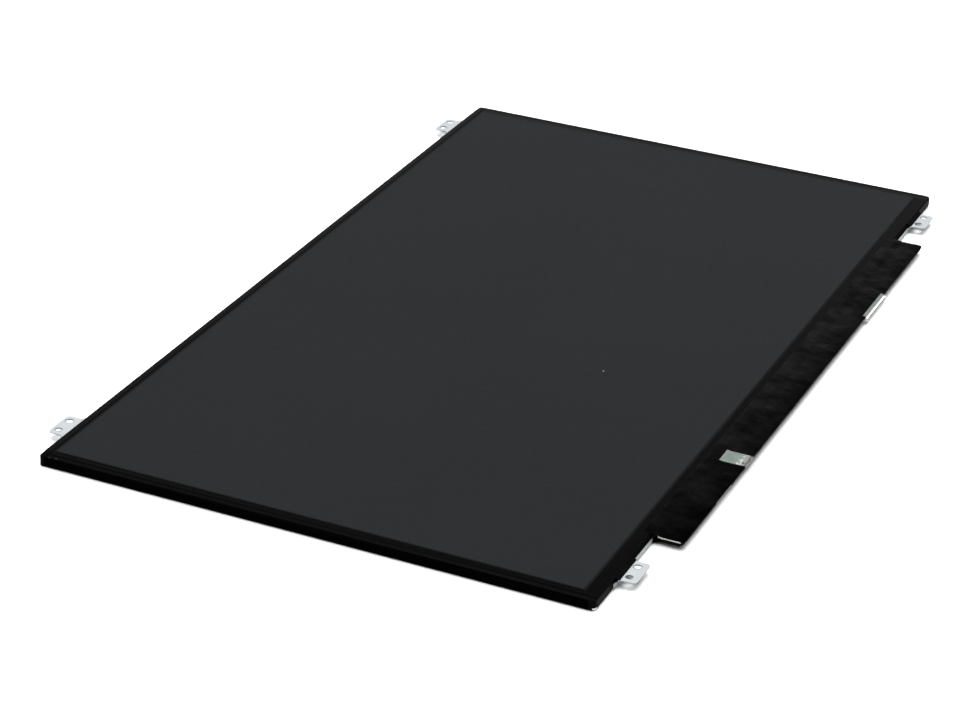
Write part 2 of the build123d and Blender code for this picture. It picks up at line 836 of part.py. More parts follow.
def component(x, y, length, width, height):
    """Block-shaped component on the rear face of the board."""
    z_ends = (board_bottom - height, board_bottom)
    return block((x - length / 2, x + length / 2), (y - width / 2, y + width / 2), z_ends)


def chip(x, y, length, width, height):
    """Moulded chip with a bevelled top."""
    body = component(x, y, length, width, height)
    return chamfer(body.edges().group_by(Axis.Z)[0], chip_bevel)


def power_inductors():
    """Two moulded inductors with bevelled corners."""
    coils = []
    for x in (converter_x + inductor_from_converter, board_x - inductor_from_board_end):
        body = component(x, board_middle_y, inductor_size, inductor_size, inductor_height)
        coils.append(chamfer(body.edges().filter_by(Axis.Z), inductor_corner))
    return coils


def component_row(pitch):
    """Places of a row of small components, from the board's left end to the controller."""
    low = -board_x + component_end_room
    high = controller_x - component_end_room - memory_from_controller
    return [low + index * pitch for index in range(int((high - low) / pitch))]


def ceramic_capacitors():
    """Row of capacitors near the inner edge of the board."""
    y = board_middle_y + component_row_gap
    sizes = (capacitor_length, capacitor_width, capacitor_height)
    return [component(x, y, *sizes) for x in component_row(capacitor_pitch)]


def chip_resistors():
    """Row of resistors near the outer edge of the board."""
    y = board_middle_y - component_row_gap
    sizes = (resistor_length, resistor_width, resistor_height)
    return [component(x, y, *sizes) for x in component_row(resistor_pitch)]


def board_chips():
    """The board's single chips."""
    y = board_middle_y
    memory_x = controller_x - memory_from_controller
    driver_x = board_x - backlight_driver_from_board_end
    return {
        "timing_controller_chip": chip(controller_x, y, controller_size, controller_size, controller_height),
        "power_converter_chip": chip(converter_x, y, converter_size, converter_size, converter_height),
        "backlight_driver_chip": chip(driver_x, y, converter_size, converter_size, converter_height),
        "memory_chip": chip(memory_x, y, memory_length, memory_width, memory_height),
    }


def all_nodes():
    """Every piece of the panel by name; a list is a group of separate like pieces."""
    right_tape = right_edge_tape()
    nodes = {
        "rear_cover": rear_cover(),
        "mould_frame": mould_frame(),
        "led_flex": led_flex(),
        "led_packages": led_packages(),
        "cell_rim_tape": cell_rim_tape(),
        "right_edge_tape": right_tape,
        "left_edge_tape": mirror(right_tape, about=Plane.YZ),
        "top_edge_tape": top_edge_tape(),
        "bottom_edge_tape": bottom_edge_tape(),
        "bracket_top_left": bracket(-1, 1),
        "bracket_top_right": bracket(1, 1),
        "bracket_bottom_left": bracket(-1, -1),
        "bracket_bottom_right": bracket(1, -1),
        "panel_flexes": panel_flexes(),
        "source_driver_chips": source_driver_chips(),
        "control_board": control_board(),
        "board_front_tape": board_front_tape(),
        "board_foil_tape": board_foil_tape(),
        "board_rear_film": board_rear_film(),
        "signal_connector_housing": signal_connector_housing(),
        "signal_connector_contacts": signal_connector_contacts(),
        "signal_connector_shell": signal_connector_shell(),
        "power_inductors": power_inductors(),
        "ceramic_capacitors": ceramic_capacitors(),
        "chip_resistors": chip_resistors(),
    }
    nodes.update(backlight_sheets())
    nodes.update(display_cell())
    nodes.update(board_chips())
    return nodes


os.makedirs("parts", exist_ok=True)
for name, piece in all_nodes().items():
    solids = piece if isinstance(piece, list) else piece.solids()
    export_step(Compound(children=list(solids)), f"parts/{name}.step")
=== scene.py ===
"""Looks of a slim laptop screen panel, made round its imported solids."""
import json
import math

import bmesh
import bpy
from bpy.props import FloatProperty, FloatVectorProperty, IntProperty, PointerProperty
from mathutils import Matrix, Vector, noise


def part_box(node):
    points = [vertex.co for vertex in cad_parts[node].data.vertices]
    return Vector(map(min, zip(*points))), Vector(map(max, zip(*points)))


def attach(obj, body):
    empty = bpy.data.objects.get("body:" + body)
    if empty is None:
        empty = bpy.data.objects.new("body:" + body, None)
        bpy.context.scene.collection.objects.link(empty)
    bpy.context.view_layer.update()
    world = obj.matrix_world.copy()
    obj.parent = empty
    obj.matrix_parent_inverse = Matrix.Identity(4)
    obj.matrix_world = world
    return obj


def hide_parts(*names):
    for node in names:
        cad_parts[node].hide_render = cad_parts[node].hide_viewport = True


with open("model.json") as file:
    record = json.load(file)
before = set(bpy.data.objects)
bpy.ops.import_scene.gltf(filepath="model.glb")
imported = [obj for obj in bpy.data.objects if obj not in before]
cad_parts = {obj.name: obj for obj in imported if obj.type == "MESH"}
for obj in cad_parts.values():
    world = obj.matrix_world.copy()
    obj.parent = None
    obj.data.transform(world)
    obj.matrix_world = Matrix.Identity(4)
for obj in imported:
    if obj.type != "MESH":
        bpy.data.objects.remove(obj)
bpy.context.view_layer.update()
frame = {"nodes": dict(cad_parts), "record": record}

bl_info = {
    "name": "Laptop screen panel",
    "version": (1, 0, 0),
    "blender": (4, 5, 0),
    "location": "View3D > Sidebar > Screen panel",
    "description": "Finishes the pieces of a slim laptop screen panel and sets its stage",
    "category": "Object",
}

# The box of the solids, before anything is added
MM = 0.001
BODY = "root"
EVEN = (1.0, 1.0, 1.0)

# Faces that the sizes below come from
_, SCREEN_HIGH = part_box("front_polariser")
GLASS_LOW, GLASS_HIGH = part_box("colour_filter_glass")
BOARD_LOW, BOARD_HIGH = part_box("control_board")
DRIVERS_LOW, DRIVERS_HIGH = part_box("source_driver_chips")
_, FRONT_TAPE_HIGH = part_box("board_front_tape")
SHELL_LOW, SHELL_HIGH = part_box("signal_connector_shell")
FOIL_LOW, FOIL_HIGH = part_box("board_foil_tape")
COVER_LOW, COVER_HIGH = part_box("rear_cover")
BRACKET_LOW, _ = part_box("bracket_bottom_left")

# How far in the bottom side reaches, where black tape laps over metal
BOTTOM_SIDE = BOARD_HIGH.y + 6.0 * MM

# Colours of the board's laminate: its mask, its cut edges and the cut near end
GREEN_MASK = ((0.012, 0.070, 0.030), (0.020, 0.100, 0.045))
CUT_EDGE = (0.24, 0.24, 0.225)
CUT_NEAR_END = ((0.54, 0.54, 0.50), (0.66, 0.66, 0.62))


def length(name, description, default):
    """A length that a user can change."""
    return FloatProperty(name=name, description=description, default=default, unit="LENGTH", precision=5)


def share(name, description, default):
    """A value between nought and one that a user can change."""
    return FloatProperty(
        name=name, description=description, default=default, min=0.0, max=1.0, subtype="FACTOR"
    )


def colour(name, description, default):
    """A colour that a user can change."""
    return FloatVectorProperty(name=name, description=description, default=default, subtype="COLOR", size=3)


def place(name, description, default):
    """A point that a user can change."""
    return FloatVectorProperty(
        name=name, description=description, default=default, subtype="XYZ", unit="LENGTH"
    )


class ScreenSettings(bpy.types.PropertyGroup):
    """The matte screen and its rim."""
    film: colour("Film", "Colour of the matte screen film", (0.0070, 0.0080, 0.0086))
    rim: colour("Rim", "Colour of the film over the black matrix", (0.0022, 0.0022, 0.0024))
    # The edge colour is a grey that stands in for the sheen the film's side faces lack: painted reflection.
    edge: colour("Edge", "Colour of the film's cut edge", (0.0055, 0.0055, 0.0055))
    rim_width: length("Rim width", "Width of the dark rim round the display area", 0.5 * MM)
    speck: place("Speck", "Place of the one bright speck on the screen", (-27.9 * MM, -39.9 * MM, 0.0))
    speck_radius: length("Speck radius", "Radius of that speck", 0.24 * MM)
    speck_colour: colour("Speck colour", "Colour of that speck", (0.3, 0.3, 0.3))


class TapeSettings(bpy.types.PropertyGroup):
    """Black border tapes and the moulded frame under them."""
    tape: colour("Tape", "Colour of the black border tape", (0.0006, 0.0006, 0.0006))
    streak: colour("Streak", "Colour of the faint streaks along the tape", (0.0013, 0.0012, 0.0011))
    frame: colour("Frame", "Colour of the moulded frame", (0.0016, 0.0016, 0.0015))
    sheen: share("Sheen", "Sheen of the border tape's level faces", 0.05)
    dull_sheen: share("Dull sheen", "Sheen of the left and bottom border tapes", 0.023)
    chip: colour("Chip", "Colour where the tape's edge is chipped", (0.022, 0.022, 0.023))


class BoardTapeSettings(bpy.types.PropertyGroup):
    """Crinkled tape over the control board and the metallic patch on it."""
    thickness: length("Thickness", "Thickness of the crinkled tape", 0.08 * MM)
    overhang: length(
        "Overhang", "How far the tape stands past the board's ends", FRONT_TAPE_HIGH.x - BOARD_HIGH.x
    )
    columns: IntProperty(name="Columns", description="Mesh columns along the tape", default=420, min=40)
    rows: IntProperty(name="Rows", description="Mesh rows across the tape", default=64, min=12)
    near_corner: length("Near corner", "Radius of the tape's near outer corner", 0.4 * MM)
    far_corner: length("Far corner", "Radius of the tape's far outer corner", 1.3 * MM)
    crease: length("Crease", "Height of the tape's creases", 0.18 * MM)
    swell: length("Swell", "Height of the tape's soft swells", 0.19 * MM)
    notch: length("Notch", "Depth of the notch at the signal connector", 1.35 * MM)
    fold_gap_start: length(
        "Fold gap start", "Where the gap in the outer fold begins, from the board's end", 26.5 * MM
    )
    fold_gap_depth: length("Fold gap depth", "How much of the outer fold is missing there", 0.46 * MM)
    fold_gap_length: length("Fold gap length", "Length of the gap in the outer fold", 13.0 * MM)
    foil_thickness: length("Foil thickness", "Thickness of the metallic patch", 0.05 * MM)
    foil_crinkle: length("Foil crinkle", "Height of the crinkles in the patch", 0.07 * MM)
    black: colour("Black", "Colour of the crinkled tape", (0.0010, 0.0010, 0.0010))
    end_lap: length("End lap", "How far the tape laps round the board's near outer corner", 1.0 * MM)
    plating: colour("Plating", "Colour of the plated strip over the signal connector", (0.095, 0.106, 0.096))
    # This colour is a painted highlight along the middle of the plated strip.
    plating_ridge_highlight: colour("Plating ridge", "Colour of the raised line on that strip", (0.125, 0.135, 0.125))
    sheen: share("Sheen", "Sheen of the crinkled tape", 0.034)
    # The outer and near shares set painted shade: the tape's colour and sheen darken towards its outer edge
    # and near end.
    outer_shade_share: share("Outer share", "Share of that sheen left at the tape's outer edge", 0.35)
    near_end_shade_share: share("Near share", "Share of that sheen left at the tape's near end", 0.42)
    # This colour is a painted highlight along the tape's crest over the glass edge.
    crest_highlight: colour("Rub", "Colour of the rubbed line at the glass edge", (0.0045, 0.0045, 0.0045))
    foil: colour("Foil", "Colour of the metallic patch", (0.124, 0.152, 0.138))
    foil_outer: colour("Foil outer", "Colour of the patch's outer part and fold", (0.165, 0.17, 0.165))
    # This colour is a painted highlight: light flecks standing for glints on the crumpled foil.
    foil_glint: colour("Foil light", "Colour of the patch's crumpled flecks", (0.42, 0.43, 0.42))
    foil_trim: length("Foil trim", "How much of the patch is torn away at its far side", 1.1 * MM)
    # This colour is painted shade along the patch's fold, and also colours a dark tear spot.
    foil_shade_and_tear: colour("Foil crack", "Colour of the crack before the patch's fold", (0.012, 0.013, 0.012))


class MetalSettings(bpy.types.PropertyGroup):
    """Sheet-metal pieces."""
    cover: colour("Cover", "Colour of the rear cover's coated sheet", (0.50, 0.51, 0.515))
    bracket: colour("Bracket", "Colour of the fixing brackets", (0.303, 0.325, 0.336))
    lap: colour("Lap", "Colour of the black tape that laps over the sheet metal", (0.0016, 0.0016, 0.0016))
    lap_drop: length("Lap drop", "How far that tape reaches down the bottom wall", 0.45 * MM)
    lap_reach: length("Lap reach", "How far that tape reaches on to the bottom tabs", 0.9 * MM)
    bare_x: length("Bare corner length", "Length of the bare spot at each bottom corner", 1.6 * MM)
    bare_y: length("Bare corner depth", "Depth of that bare spot", 0.9 * MM)
    # This colour is painted shade: the dark rings stand for the screw holes' shaded bore walls.
    hole_shade: colour("Hole rim", "Colour of the burred rims of the screw holes", (0.07, 0.075, 0.08))
    shell: colour("Shell", "Colour of the signal connector's shell", (0.72, 0.73, 0.72))


class StageSettings(bpy.types.PropertyGroup):
    """Camera, floor and light."""
    camera: place("Camera", "Place of the camera", (-0.814868, -0.347646, 0.436438))
    target: place("Target", "Point that the camera looks at", (-0.039407, -0.001270, 0.00380))
    roll: FloatProperty(
        name="Roll", description="Roll of the camera", default=math.radians(1.721), subtype="ANGLE"
    )
    lens: FloatProperty(name="Lens", description="Focal length", default=109.958, unit="CAMERA")
    floor: colour("Floor", "Colour of the floor", (0.80, 0.80, 0.80))
    floor_size: length("Floor size", "Half the width of the floor", 12.0)
    key_strength: FloatProperty(
        name="Key strength", description="Strength of the soft key light", default=2.2
    )
    key_spread: FloatProperty(
        name="Key spread", description="Width of the key light as an angle",
        default=math.radians(60), subtype="ANGLE"
    )
    key_place: place("Key place", "Direction that the key light comes from", (0.40, 0.12, 1.25))
    horizon: FloatProperty(
        name="Horizon", description="Strength of the backdrop near the horizon", default=0.54
    )
    zenith: share("Zenith", "Strength of the backdrop overhead", 0.24)
    horizon_top: share("Horizon top", "Height at which the bright backdrop begins to fall off", 0.435)
    zenith_bottom: share("Zenith bottom", "Height at which the backdrop has fallen off", 0.485)
    overhead: FloatProperty(name="Overhead", description="Strength of the wide light overhead", default=3.4)
    overhead_bottom: share("Overhead bottom", "Height at which the light overhead begins", 0.70)
    overhead_top: share("Overhead top", "Height at which the light overhead is full", 0.90)


# Shader helpers


def feed(tree, socket, value):
    """Links a socket to another node's output, or sets its plain value."""
    if isinstance(value, bpy.types.NodeSocket):
        tree.links.new(value, socket)
    elif socket.type == "RGBA" and len(value) == 3:
        socket.default_value = (*value, 1.0)
    else:
        socket.default_value = value


def add(tree, kind, *values, **options):
    """Adds a node with its options, and feeds its inputs in order."""
    made = tree.nodes.new(kind)
    for key, value in options.items():
        setattr(made, key, value)
    for socket, value in zip(made.inputs, values):
        if value is not None:
            feed(tree, socket, value)
    return made


def calc(tree, operation, *values):
    """Result of a math node."""
    return add(tree, "ShaderNodeMath", *values, operation=operation).outputs[0]


def spread(tree, value, low, high, to_low, to_high):
    """A value moved from one range to another, held at both ends."""
    return add(tree, "ShaderNodeMapRange", value, low, high, to_low, to_high).outputs[0]


def mixed(tree, factor, first, second):
    """Blend of two colours."""
    made = tree.nodes.new("ShaderNodeMix")
    made.data_type = "RGBA"
    for index, value in ((0, factor), (6, first), (7, second)):
        feed(tree, made.inputs[index], value)
    return made.outputs[2]


def scaled(tree, base, level):
    """A colour made lighter or darker by a level."""
    made = add(tree, "ShaderNodeVectorMath", tuple(base), operation="SCALE")
    feed(tree, made.inputs["Scale"], level)
    return made.outputs[0]


def upward(tree):
    """How far a face looks up: nought on walls and one on level faces."""
    normal = add(tree, "ShaderNodeNewGeometry").outputs["True Normal"]
    return add(tree, "ShaderNodeSeparateXYZ", normal).outputs[2]


def axes(tree):
    """The three Object coordinates."""
    coordinates = add(tree, "ShaderNodeTexCoord").outputs["Object"]
    return add(tree, "ShaderNodeSeparateXYZ", coordinates).outputs


def bumped(tree, height, distance):
    """Normal of a surface with a relief of a given depth."""
    made = tree.nodes.new("ShaderNodeBump")
    made.inputs["Strength"].default_value = 1.0
    made.inputs["Distance"].default_value = distance
    feed(tree, made.inputs["Height"], height)
    return made.outputs["Normal"]


def effect(name, inputs, outputs, build):
    """A shader node group with named sockets, built once."""
    found = bpy.data.node_groups.get(name)
    if found:
        return found
    tree = bpy.data.node_groups.new(name, "ShaderNodeTree")
    for label, kind, default in inputs:
        socket = tree.interface.new_socket(label, in_out="INPUT", socket_type=kind)
        socket.default_value = default
    for label in outputs:
        tree.interface.new_socket(label, in_out="OUTPUT", socket_type="NodeSocketFloat")
    entry = tree.nodes.new("NodeGroupInput").outputs
    leave = tree.nodes.new("NodeGroupOutput").inputs
    build(tree, entry, leave)
    return tree


def use(tree, group, **values):
    """Places a node group in a material and returns its outputs."""
    made = tree.nodes.new("ShaderNodeGroup")
    made.node_tree = group
    for label, value in values.items():
        feed(tree, made.inputs[label], value)
    return made.outputs


def grain():
    """Noise on Object coordinates, stretched along the axes: for grain, streaks, brushing and mottling."""
    def build(tree, entry, leave):
        coordinates = add(tree, "ShaderNodeTexCoord").outputs["Object"]
        stretched = add(tree, "ShaderNodeVectorMath", coordinates, entry["Stretch"], operation="MULTIPLY")
        texture = tree.nodes.new("ShaderNodeTexNoise")
        feed(tree, texture.inputs["Vector"], stretched.outputs[0])
        for label in ("Scale", "Detail"):
            feed(tree, texture.inputs[label], entry[label])
        feed(tree, leave["Value"], texture.outputs[0])
        clear = add(tree, "ShaderNodeMapRange", texture.outputs[0], 0.35, 0.65, entry["Low"], entry["High"])
        feed(tree, leave["Ranged"], clear.outputs[0])

    inputs = (
        ("Scale", "NodeSocketFloat", 1000.0),
        ("Stretch", "NodeSocketVector", EVEN),
        ("Detail", "NodeSocketFloat", 2.0),
        ("Low", "NodeSocketFloat", 0.0),
        ("High", "NodeSocketFloat", 1.0),
    )
    return effect("Grain", inputs, ("Value", "Ranged"), build)


def specks():
    """Sparse round specks: for dust and tiny marks."""
    def build(tree, entry, leave):
        coordinates = add(tree, "ShaderNodeTexCoord").outputs["Object"]
        cells = tree.nodes.new("ShaderNodeTexVoronoi")
        feed(tree, cells.inputs["Vector"], coordinates)
        feed(tree, cells.inputs["Scale"], entry["Scale"])
        near = calc(tree, "LESS_THAN", cells.outputs["Distance"], entry["Size"])
        pick = add(tree, "ShaderNodeSeparateColor", cells.outputs["Color"]).outputs[0]
        chosen = calc(tree, "LESS_THAN", pick, entry["Share"])
        feed(tree, leave["Mask"], calc(tree, "MULTIPLY", near, chosen))

    inputs = (
        ("Scale", "NodeSocketFloat", 100.0),
        ("Size", "NodeSocketFloat", 0.05),
        ("Share", "NodeSocketFloat", 0.1),
    )
    return effect("Specks", inputs, ("Mask",), build)


def spot():
    """One mark with a ragged outline at a given place."""
    def build(tree, entry, leave):
        coordinates = add(tree, "ShaderNodeTexCoord").outputs["Object"]
        apart = add(tree, "ShaderNodeVectorMath", coordinates, entry["Place"], operation="DISTANCE")
        ragged = tree.nodes.new("ShaderNodeTexNoise")
        feed(tree, ragged.inputs["Vector"], coordinates)
        ragged.inputs["Scale"].default_value = 2600.0
        reach = calc(tree, "MULTIPLY", entry["Radius"], spread(tree, ragged.outputs[0], 0.3, 0.7, 0.55, 1.3))
        feed(tree, leave["Mask"], calc(tree, "LESS_THAN", apart.outputs["Value"], reach))

    inputs = (("Place", "NodeSocketVector", (0.0, 0.0, 0.0)), ("Radius", "NodeSocketFloat", 0.0003))
    return effect("Spot", inputs, ("Mask",), build)


def line():
    """Soft line where a value passes a given place."""
    def build(tree, entry, leave):
        off = calc(tree, "ABSOLUTE", calc(tree, "SUBTRACT", entry["Value"], entry["Place"]))
        feed(tree, leave["Mask"], spread(tree, off, 0.0, entry["Width"], 1.0, 0.0))

    inputs = (
        ("Value", "NodeSocketFloat", 0.0),
        ("Place", "NodeSocketFloat", 0.0),
        ("Width", "NodeSocketFloat", 0.0002),
    )
    return effect("Line", inputs, ("Mask",), build)


def finish(name, **plain):
    """A new material with one Principled shader, plain values set on its own sockets."""
    made = bpy.data.materials.new(name)
    made.use_nodes = True
    tree = made.node_tree
    tree.nodes.clear()
    shader = tree.nodes.new("ShaderNodeBsdfPrincipled")
    output = tree.nodes.new("ShaderNodeOutputMaterial")
    tree.links.new(shader.outputs[0], output.inputs[0])
    for label, value in plain.items():
        feed(tree, shader.inputs[label.replace("_", " ")], value)
    return made, tree, shader.inputs


def dress(surface, *nodes):
    """Gives CAD nodes a material."""
    for name in nodes:
        mesh = frame["nodes"][name].data
        mesh.materials.clear()
        mesh.materials.append(surface)


def add_piece(name, mesh_in_edit, surface, slot, *nodes):
    """Makes an object of a bmesh that stands for CAD nodes."""
    mesh = bpy.data.meshes.new(name)
    mesh_in_edit.to_mesh(mesh)
    mesh_in_edit.free()
    mesh.materials.append(surface)
    mesh.shade_smooth()
    piece = bpy.data.objects.new(name, mesh)
    bpy.context.scene.collection.objects.link(piece)
    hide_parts(*nodes)
    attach(piece, BODY)


# Chips on the near tape's outer edge: place and radius
LIP = SCREEN_HIGH.z - 0.3 * MM
TAPE_CHIPS = (
    ((-159.1 * MM, 87.1 * MM, LIP), 0.26 * MM),
    ((-158.8 * MM, 84.8 * MM, LIP), 0.34 * MM),
    ((-158.5 * MM, 90.2 * MM, LIP), 0.22 * MM),
)


# Materials of the screen and its border


def screen_film(settings):
    """Matte anti-glare film: even grey, a fine sparkle, a dark rim over the black matrix, cut edges with
    painted sheen.
    """
    surface, tree, shader = finish("Screen film", Specular_IOR_Level=0.05)
    x, y, _ = axes(tree)
    half_x = SCREEN_HIGH.x - settings.rim_width
    half_y = SCREEN_HIGH.y - settings.rim_width
    past_x = calc(tree, "GREATER_THAN", calc(tree, "ABSOLUTE", x), half_x)
    past_y = calc(tree, "GREATER_THAN", calc(tree, "ABSOLUTE", y), half_y)
    rim = calc(tree, "MAXIMUM", past_x, past_y)
    fine = use(tree, grain(), Scale=2600.0, Detail=1.0, Low=0.90, High=1.10)
    broad = use(tree, grain(), Scale=14.0, Low=0.97, High=1.03)
    level = calc(tree, "MULTIPLY", fine["Ranged"], broad["Ranged"])
    face = mixed(tree, rim, scaled(tree, settings.film, level), tuple(settings.rim))
    # Side faces take the edge colour, lighter than a bare black edge: painted reflection.
    level_face = calc(tree, "GREATER_THAN", upward(tree), 0.5)
    film = mixed(tree, level_face, tuple(settings.edge), face)
    mark = (settings.speck[0], settings.speck[1], SCREEN_HIGH.z)
    speck = use(tree, spot(), Place=mark, Radius=settings.speck_radius)["Mask"]
    feed(tree, shader["Base Color"], mixed(tree, speck, film, tuple(settings.speck_colour)))
    feed(tree, shader["Roughness"], use(tree, grain(), Scale=900.0, Low=0.50, High=0.58)["Ranged"])
    feed(tree, shader["Normal"], bumped(tree, fine["Value"], 0.004 * MM))
    return surface


def border_tape(name, settings, sheen):
    """Matte black tape: faint streaks, a dull dip over the glass's edge and a few chips at its outer edge."""
    surface, tree, shader = finish(name)
    x, y, _ = axes(tree)
    along_y = use(tree, grain(), Scale=1.0, Stretch=(1500.0, 9.0, 200.0), Detail=3.0)
    along_x = use(tree, grain(), Scale=1.0, Stretch=(9.0, 1500.0, 200.0), Detail=3.0)
    side = calc(tree, "GREATER_THAN", calc(tree, "ABSOLUTE", x), SCREEN_HIGH.x)
    streaks = add(tree, "ShaderNodeMix", side, None, along_x["Ranged"], along_y["Ranged"]).outputs[0]
    black = mixed(tree, streaks, tuple(settings.tape), tuple(settings.streak))
    chips = None
    for place_of_chip, radius in TAPE_CHIPS:
        mask = use(tree, spot(), Place=place_of_chip, Radius=radius)["Mask"]
        chips = mask if chips is None else calc(tree, "MAXIMUM", chips, mask)
    feed(tree, shader["Base Color"], mixed(tree, chips, black, tuple(settings.chip)))
    feed(tree, shader["Roughness"], spread(tree, streaks, 0.0, 1.0, 0.16, 0.22))
    gap_x = use(tree, line(), Value=calc(tree, "ABSOLUTE", x), Place=GLASS_HIGH.x, Width=0.7 * MM)["Mask"]
    gap_y = use(tree, line(), Value=y, Place=GLASS_HIGH.y, Width=0.7 * MM)["Mask"]
    gap = calc(tree, "MAXIMUM", gap_x, gap_y)
    level_sheen = spread(tree, upward(tree), 0.93, 1.0, 0.0, sheen)
    left_in_gap = spread(tree, gap, 0.0, 1.0, 1.0, 0.1)
    feed(tree, shader["Specular IOR Level"], calc(tree, "MULTIPLY", level_sheen, left_in_gap))
    dip = calc(tree, "MULTIPLY", gap, -0.02 * MM)
    weave = use(tree, grain(), Scale=4000.0)["Value"]
    relief = calc(tree, "MULTIPLY_ADD", weave, 0.006 * MM, dip)
    feed(tree, shader["Normal"], bumped(tree, relief, 1.0))
    return surface


def frame_plastic(settings):
    """Satin black moulding with a fine eroded grain."""
    surface, tree, shader = finish("Frame plastic", Specular_IOR_Level=0.008)
    mottle = use(tree, grain(), Scale=180.0, Low=0.8, High=1.2)
    feed(tree, shader["Base Color"], scaled(tree, settings.frame, mottle["Ranged"]))
    fine = use(tree, grain(), Scale=4200.0, Low=0.36, High=0.50)
    feed(tree, shader["Roughness"], fine["Ranged"])
    feed(tree, shader["Normal"], bumped(tree, fine["Value"], 0.008 * MM))
    return surface


# Materials of the sheet metal


def lapped(tree, settings):
    """Where black tape laps over the bottom side's metal: wall top, tab roots and most of the corners."""
    x, y, z = axes(tree)
    outwards = calc(tree, "ABSOLUTE", x)
    high = calc(tree, "GREATER_THAN", z, COVER_HIGH.z - settings.lap_drop)
    root = calc(tree, "GREATER_THAN", y, COVER_LOW.y - settings.lap_reach)
    corner = calc(tree, "GREATER_THAN", outwards, -BRACKET_LOW.x)
    tip_x = calc(tree, "GREATER_THAN", outwards, COVER_HIGH.x - settings.bare_x)
    tip_y = calc(tree, "LESS_THAN", y, COVER_LOW.y + settings.bare_y)
    covered = calc(tree, "SUBTRACT", corner, calc(tree, "MULTIPLY", tip_x, tip_y))
    lap = calc(tree, "MAXIMUM", calc(tree, "MULTIPLY", high, root), covered)
    return calc(tree, "MULTIPLY", lap, calc(tree, "LESS_THAN", y, BOTTOM_SIDE))


def hole_shade_rims(tree):
    """Painted shade round the tabs' screw holes, where their bore walls are in shade, placed by the record's
    hole patterns.
    """
    x, y, _ = axes(tree)
    shade_rims = None
    for pattern in frame["record"]["mounts"]:
        if pattern["kind"] != "bolt_pattern":
            continue
        sizes = pattern["dims"]
        off_x = calc(tree, "SUBTRACT", calc(tree, "ABSOLUTE", x), sizes["spacing_x_mm"] / 2 * MM)
        from_middle = calc(tree, "ABSOLUTE", calc(tree, "SUBTRACT", y, pattern["pos_m"][1]))
        off_y = calc(tree, "SUBTRACT", from_middle, sizes["spacing_y_mm"] / 2 * MM)
        off = add(tree, "ShaderNodeCombineXYZ", off_x, off_y).outputs[0]
        gap = add(tree, "ShaderNodeVectorMath", off, operation="LENGTH").outputs["Value"]
        rim = use(tree, line(), Value=gap, Place=sizes["hole_r_mm"] * MM, Width=0.35 * MM)["Mask"]
        shade_rims = rim if shade_rims is None else calc(tree, "MAXIMUM", shade_rims, rim)
    return shade_rims


def taped_sheet(name, base, low, high, brushing, metallic, settings):
    """Metal sheet with laps of black tape on it."""
    surface, tree, shader = coated_sheet(name, base, low, high, brushing, metallic)
    mask = lapped(tree, settings)
    # Painted shade round the screw holes darkens the bare metal there.
    bare_with_hole_shade = mixed(tree, hole_shade_rims(tree), shader["Base Color"].links[0].from_socket, tuple(settings.hole_shade))
    feed(tree, shader["Base Color"], mixed(tree, mask, bare_with_hole_shade, tuple(settings.lap)))
    feed(tree, shader["Metallic"], spread(tree, mask, 0.0, 1.0, metallic, 0.0))
    feed(tree, shader["Specular IOR Level"], spread(tree, mask, 0.0, 1.0, 0.5, 0.01))
    return surface


def coated_sheet(name, base, low, high, brushing, metallic=1.0):
    """Bright metal sheet with fine brushing and faint mottling."""
    surface, tree, shader = finish(name, Metallic=metallic)
    brushed = use(tree, grain(), Scale=1.0, Stretch=brushing, Detail=3.0, Low=low, High=high)
    mottle = use(tree, grain(), Scale=120.0, Detail=4.0, Low=0.95, High=1.03)
    feed(tree, shader["Base Color"], scaled(tree, base, mottle["Ranged"]))
    feed(tree, shader["Roughness"], brushed["Ranged"])
    feed(tree, shader["Normal"], bumped(tree, brushed["Value"], 0.002 * MM))
    return surface, tree, shader


# Materials of the board and its tapes


def crinkled_tape(settings):
    """Black tape with a blotchy sheen; painted shade darkens its colour and sheen outwards and towards one
    end, and a painted highlight runs along the glass edge.
    """
    surface, tree, shader = finish("Crinkled tape")
    x, y, _ = axes(tree)
    blotches = (1.0, 0.6, 1.0)
    mottle = use(tree, grain(), Scale=190.0, Stretch=blotches, Detail=3.0, Low=0.5, High=1.35)["Ranged"]
    # Painted shade: the tape's colour and sheen fall off outwards and towards the board's near end.
    outward_shade = spread(tree, y, BOARD_LOW.y, BOARD_HIGH.y, settings.outer_shade_share, 1.0)
    near_end_shade = spread(tree, x, BOARD_LOW.x, 0.0, settings.near_end_shade_share, 1.0)
    level = calc(tree, "MULTIPLY", mottle, calc(tree, "MULTIPLY", outward_shade, near_end_shade))
    black = scaled(tree, settings.black, level)
    feed(tree, shader["Specular IOR Level"], calc(tree, "MULTIPLY", level, settings.sheen))
    # Painted highlight: a broken light line on the crest where the tape bends over the glass edge.
    edge = use(tree, line(), Value=y, Place=GLASS_LOW.y, Width=0.25 * MM)["Mask"]
    dashes = (160.0, 900.0, 100.0)
    broken = use(tree, grain(), Scale=1.0, Stretch=dashes, Detail=3.0, Low=-1.2, High=0.9)["Ranged"]
    crest_highlight_mask = calc(tree, "MULTIPLY", edge, calc(tree, "MAXIMUM", broken, 0.0))
    feed(tree, shader["Base Color"], mixed(tree, crest_highlight_mask, black, tuple(settings.crest_highlight)))
    fine = use(tree, grain(), Scale=3000.0, Low=0.26, High=0.34)
    feed(tree, shader["Roughness"], fine["Ranged"])
    feed(tree, shader["Normal"], bumped(tree, fine["Value"], 0.004 * MM))
    return surface


